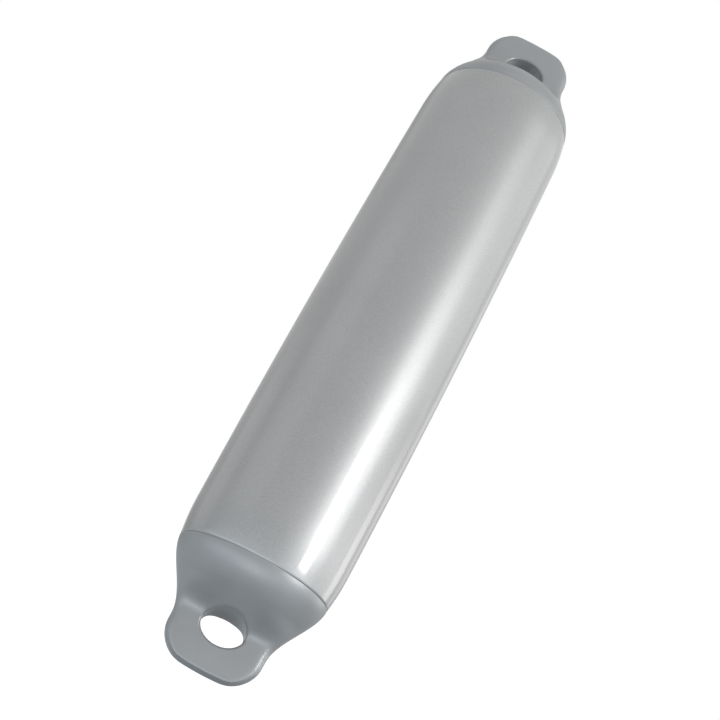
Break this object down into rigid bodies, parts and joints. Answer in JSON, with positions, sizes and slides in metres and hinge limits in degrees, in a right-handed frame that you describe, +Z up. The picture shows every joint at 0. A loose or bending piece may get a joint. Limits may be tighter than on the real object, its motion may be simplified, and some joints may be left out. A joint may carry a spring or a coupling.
{
  "type": "boat fender",
  "caption": "Long round inflatable boat fender with a flattened lug and an oval rope eye moulded at each end, and a small valve plug on the upper shoulder.",
  "frame": {"origin": "centre of the upper eye, on the middle plane of its lug", "axes": "+Z up along the fender's axis, X across the lugs, Y through the eyes; the valve is on the +Y side of the upper end"},
  "size_m": [0.12, 0.12, 0.5606],
  "materials": {
    "vinyl": "silver-grey vinyl, glossy on the body and satin on the moulded ends",
    "plug": "dark satin plastic"
  },
  "bodies": {
    "root": {"fender": "vinyl", "valve_plug": "plug"}
  },
  "joints": []
}
